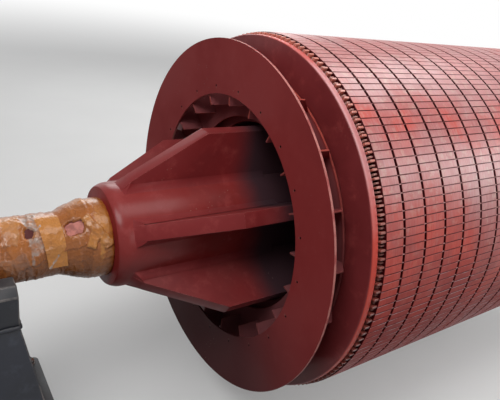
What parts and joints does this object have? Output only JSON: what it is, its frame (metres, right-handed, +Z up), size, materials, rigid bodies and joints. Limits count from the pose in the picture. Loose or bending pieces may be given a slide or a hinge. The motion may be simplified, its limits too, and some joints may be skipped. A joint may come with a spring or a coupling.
{
  "type": "rotor shaft",
  "caption": "Large squirrel-cage rotor shaft with a ribbed spider, ventilated laminated core, end rings and radial fans, its wrapped journals lying on tapered stands.",
  "frame": {"origin": "on the floor, under the middle of the core", "axes": "+X along the shaft from the pictured end into the core, +Z up"},
  "size_m": [4.3534, 1.36, 1.48],
  "materials": {
    "red_oxide_paint": "satin red-oxide primer",
    "core_paint": "glossy red varnish over laminations",
    "brown_tape": "wrinkled brown packing tape",
    "stand_paint": "satin black"
  },
  "bodies": {
    "root": {"shaft": "red_oxide_paint", "rib_1": "red_oxide_paint", "rib_2": "red_oxide_paint", "rib_3": "red_oxide_paint", "rib_4": "red_oxide_paint", "rib_5": "red_oxide_paint", "rib_6": "red_oxide_paint", "core_packet_01": "core_paint", "core_packet_02": "core_paint", "core_packet_03": "core_paint", "core_packet_04": "core_paint", "core_packet_05": "core_paint", "core_packet_06": "core_paint", "core_packet_07": "core_paint", "core_packet_08": "core_paint", "core_packet_09": "core_paint", "core_packet_10": "core_paint", "core_packet_11": "core_paint", "core_packet_12": "core_paint", "core_packet_13": "core_paint", "core_packet_14": "core_paint", "core_packet_15": "core_paint", "core_packet_16": "core_paint", "core_packet_17": "core_paint", "clamp_plate_drive_end": "red_oxide_paint", "bar_ends_drive_end": "red_oxide_paint", "short_circuit_ring_drive_end": "red_oxide_paint", "fan_back_plate_drive_end": "red_oxide_paint", "fan_blades_drive_end": "red_oxide_paint", "fan_shroud_drive_end": "red_oxide_paint", "journal_wrap_drive_end": "brown_tape", "stand_base_drive_end": "stand_paint", "stand_body_drive_end": "stand_paint", "stand_saddle_drive_end": "stand_paint", "clamp_plate_far_end": "red_oxide_paint", "bar_ends_far_end": "red_oxide_paint", "short_circuit_ring_far_end": "red_oxide_paint", "fan_back_plate_far_end": "red_oxide_paint", "fan_blades_far_end": "red_oxide_paint", "fan_shroud_far_end": "red_oxide_paint", "journal_wrap_far_end": "brown_tape", "stand_base_far_end": "stand_paint", "stand_body_far_end": "stand_paint", "stand_saddle_far_end": "stand_paint"}
  },
  "joints": []
}
